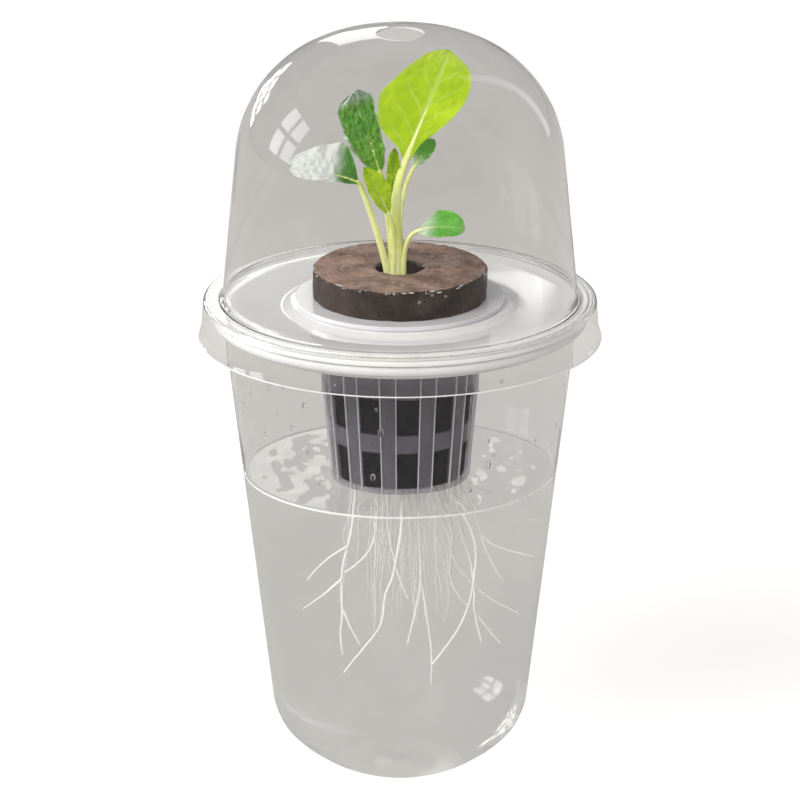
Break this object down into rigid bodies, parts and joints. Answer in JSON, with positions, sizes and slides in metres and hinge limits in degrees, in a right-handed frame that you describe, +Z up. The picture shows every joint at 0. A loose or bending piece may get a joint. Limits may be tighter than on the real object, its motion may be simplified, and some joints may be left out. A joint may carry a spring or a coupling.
{
  "type": "hydroponic jar planter",
  "caption": "Clear tapered jar of water with a white planting tray, a net pot holding a seedling with roots in the water, and a clear vented dome cover.",
  "frame": {"origin": "middle of the jar's flat foot, on the surface that it stands on", "axes": "+Z up along the jar's axis, -Y towards the front of the picture, +X to its right"},
  "size_m": [0.1016, 0.1016, 0.1926],
  "materials": {
    "clear_plastic": "clear polished plastic sheet with a faint grey tint",
    "water": "clear water, a liquid",
    "white_plastic": "glossy white moulded plastic",
    "pot_plastic": "translucent grey moulded plastic",
    "growing_medium": "damp dark fibrous medium",
    "peat": "pressed brown peat",
    "stalk": "pale green plant stalk",
    "light_leaf": "smooth light green leaf",
    "dark_leaf": "crinkled dark green leaf",
    "root": "pale fibrous root"
  },
  "bodies": {
    "jar": {"jar": "clear_plastic", "nutrient_water": "water"},
    "tray": {"planting_tray": "white_plastic"},
    "pot": {"net_pot": "pot_plastic", "growing_medium": "growing_medium", "peat_disc": "peat", "seedling_crown": "stalk", "tall_stalk": "stalk", "tall_blade": "light_leaf", "crinkled_stalk": "stalk", "crinkled_blade": "dark_leaf", "side_stalk": "stalk", "side_blade": "dark_leaf", "small_stalk": "stalk", "small_blade": "light_leaf", "young_stalk": "stalk", "young_blade": "light_leaf", "inner_stalk": "stalk", "inner_blade": "light_leaf", "back_stalk": "stalk", "back_blade": "light_leaf", "root_left": "root", "root_front": "root", "root_mid": "root", "root_mid_left": "root", "root_centre": "root", "root_back": "root", "root_right": "root", "root_inner_right": "root", "root_far_back": "root", "root_outer_right": "root", "root_surface": "root"},
    "dome": {"dome_cover": "clear_plastic"}
  },
  "joints": [
    {"name": "tray_lift", "type": "slide", "parent": "jar", "child": "tray", "axis": [0, 0, 1], "range_m": [0, 0.105], "deforming": ["nutrient_water"]},
    {"name": "pot_lift", "type": "slide", "parent": "tray", "child": "pot", "axis": [0, 0, 1], "range_m": [0, 0.105], "deforming": ["root_left", "root_front", "root_mid", "root_mid_left", "root_centre", "root_back", "root_right", "root_inner_right", "root_far_back", "root_outer_right", "root_surface"]},
    {"name": "dome_lift", "type": "slide", "parent": "pot", "child": "dome", "axis": [0, 0, 1], "range_m": [0, 0.08]}
  ]
}
